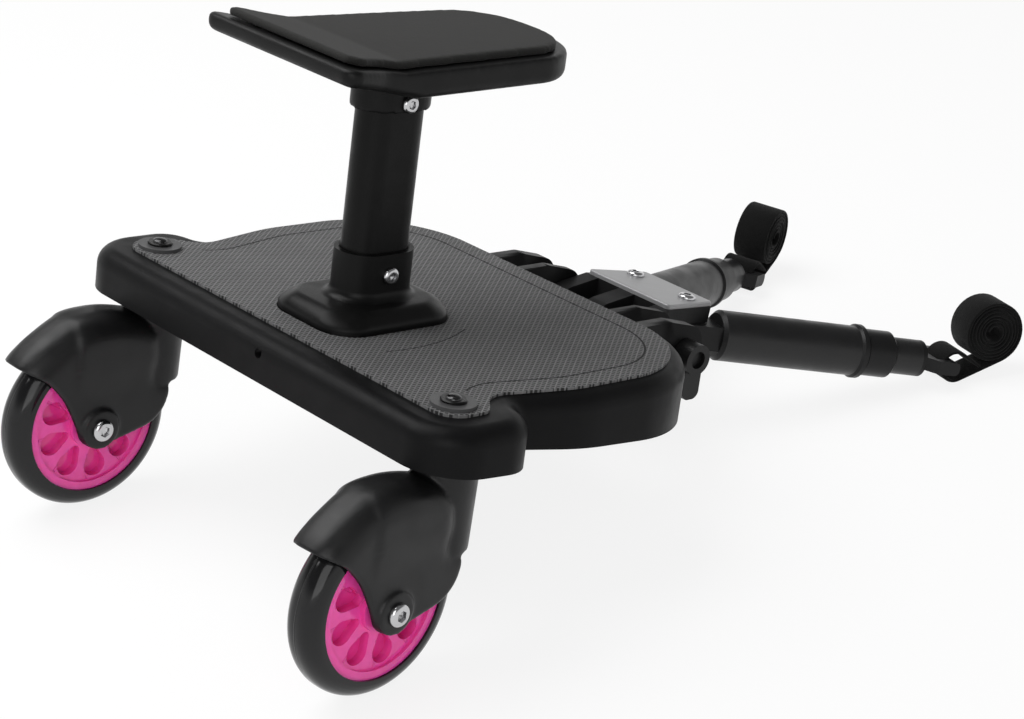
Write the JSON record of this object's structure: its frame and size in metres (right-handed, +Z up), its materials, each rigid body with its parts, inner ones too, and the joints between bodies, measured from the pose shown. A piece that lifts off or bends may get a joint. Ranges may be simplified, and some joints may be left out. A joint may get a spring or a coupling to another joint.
{
  "type": "buggy board",
  "caption": "Ride-on board for the back of a push-chair: moulded deck on swivel casters, saddle seat on a post, and a tilting coupler with telescopic strap arms.",
  "frame": {"origin": "on the floor, under the middle of the whole", "axes": "+Z up, +Y forward towards the straps, +X to the rider's right"},
  "size_m": [0.353, 0.6351, 0.3242],
  "materials": {
    "deck_black": "satin",
    "mat_grey": "ribbed",
    "socket_black": "satin",
    "post_black": "satin",
    "seat_black": "satin",
    "pad_foam": "foam",
    "chrome": "polished",
    "steel": "plain",
    "bearing_dark": "plain",
    "washer_grey": "satin",
    "bush_white": "plain",
    "fork_black": "satin",
    "tyre_black": "gloss",
    "core_pink": "translucent",
    "coupler_grey": "satin",
    "plate_grey": "satin",
    "knob_grey": "satin",
    "knuckle_black": "satin",
    "tube_black": "satin",
    "collar_black": "satin",
    "sleeve_black": "satin",
    "slider_grey": "satin",
    "eye_black": "satin",
    "strap_black": "napped"
  },
  "bodies": {
    "deck": {"deck_shell": "deck_black", "deck_mat": "mat_grey", "seat_socket": "socket_black", "socket_screws": "steel", "seat_post": "post_black", "post_bolt": "chrome", "post_nut": "steel", "seat_shell": "seat_black", "seat_pad": "pad_foam", "seat_bolt": "chrome", "seat_nut": "steel", "hinge_rod": "steel", "hinge_nut": "steel", "swivel_washer_left": "washer_grey", "swivel_washer_right": "washer_grey", "swivel_bush_left": "bush_white", "swivel_bush_right": "bush_white"},
    "coupler": {"coupler_body": "coupler_grey", "coupler_plate": "plate_grey", "pivot_screws": "chrome", "pivot_nuts": "steel"},
    "knob": {"hinge_knob": "knob_grey"},
    "caster_left": {"caster_fork_left": "fork_black", "kingpin_left": "chrome", "kingpin_nut_left": "steel", "axle_bolt_left": "chrome", "axle_nut_left": "steel", "axle_spacers_left": "steel", "bearing_sleeve_left": "steel"},
    "wheel_left": {"wheel_tyre_left": "tyre_black", "wheel_core_left": "core_pink", "wheel_bearings_left": "bearing_dark"},
    "arm_left": {"arm_knuckle_left": "knuckle_black", "arm_tube_left": "tube_black", "arm_collar_left": "collar_black"},
    "sleeve_left": {"arm_sleeve_left": "sleeve_black"},
    "slider_left": {"arm_slider_left": "slider_grey", "arm_eye_left": "eye_black", "strap_left": "strap_black"},
    "caster_right": {"caster_fork_right": "fork_black", "kingpin_right": "chrome", "kingpin_nut_right": "steel", "axle_bolt_right": "chrome", "axle_nut_right": "steel", "axle_spacers_right": "steel", "bearing_sleeve_right": "steel"},
    "wheel_right": {"wheel_tyre_right": "tyre_black", "wheel_core_right": "core_pink", "wheel_bearings_right": "bearing_dark"},
    "arm_right": {"arm_knuckle_right": "knuckle_black", "arm_tube_right": "tube_black", "arm_collar_right": "collar_black"},
    "sleeve_right": {"arm_sleeve_right": "sleeve_black"},
    "slider_right": {"arm_slider_right": "slider_grey", "arm_eye_right": "eye_black", "strap_right": "strap_black"}
  },
  "joints": [
    {"name": "coupler_tilt", "type": "hinge", "parent": "deck", "child": "coupler", "pos_m": [0, 0.04099, 0.08146], "axis": [1, 0, 0], "range_deg": [-20, 80]},
    {"name": "knob_turn", "type": "hinge", "parent": "deck", "child": "knob", "pos_m": [0, 0.04099, 0.08146], "axis": [1, 0, 0], "range_deg": [0, 360]},
    {"name": "swivel_left", "type": "hinge", "parent": "deck", "child": "caster_left", "pos_m": [-0.1405, -0.19986, 0.14985], "axis": [0, 0.1639, 0.9865], "continuous": true},
    {"name": "spin_left", "type": "hinge", "parent": "caster_left", "child": "wheel_left", "pos_m": [-0.1409, -0.26254, 0.05504], "axis": [1, -0.0086, 0.0014], "continuous": true},
    {"name": "swing_left", "type": "hinge", "parent": "coupler", "child": "arm_left", "pos_m": [-0.024, 0.08576, 0.0653], "axis": [0, 0.2795, 0.9601], "range_deg": [-14, 30]},
    {"name": "twist_left", "type": "hinge", "parent": "arm_left", "child": "sleeve_left", "pos_m": [-0.07286, 0.20607, 0.03027], "axis": [-0.3633, 0.8946, -0.2604], "range_deg": [0, 90]},
    {"name": "slide_left", "type": "slide", "parent": "arm_left", "child": "slider_left", "axis": [-0.3633, 0.8946, -0.2604], "range_m": [0, 0.06]},
    {"name": "swivel_right", "type": "hinge", "parent": "deck", "child": "caster_right", "pos_m": [0.1405, -0.19986, 0.14985], "axis": [0, 0.1639, 0.9865], "continuous": true},
    {"name": "spin_right", "type": "hinge", "parent": "caster_right", "child": "wheel_right", "pos_m": [0.14421, -0.2624, 0.05502], "axis": [0.9968, 0.0791, -0.0131], "continuous": true},
    {"name": "swing_right", "type": "hinge", "parent": "coupler", "child": "arm_right", "pos_m": [0.024, 0.08576, 0.0653], "axis": [0, 0.2795, 0.9601], "range_deg": [-30, 14]},
    {"name": "twist_right", "type": "hinge", "parent": "arm_right", "child": "sleeve_right", "pos_m": [0.07286, 0.20607, 0.03027], "axis": [0.3633, 0.8946, -0.2604], "range_deg": [0, 90]},
    {"name": "slide_right", "type": "slide", "parent": "arm_right", "child": "slider_right", "axis": [0.3633, 0.8946, -0.2604], "range_m": [0, 0.06]}
  ]
}
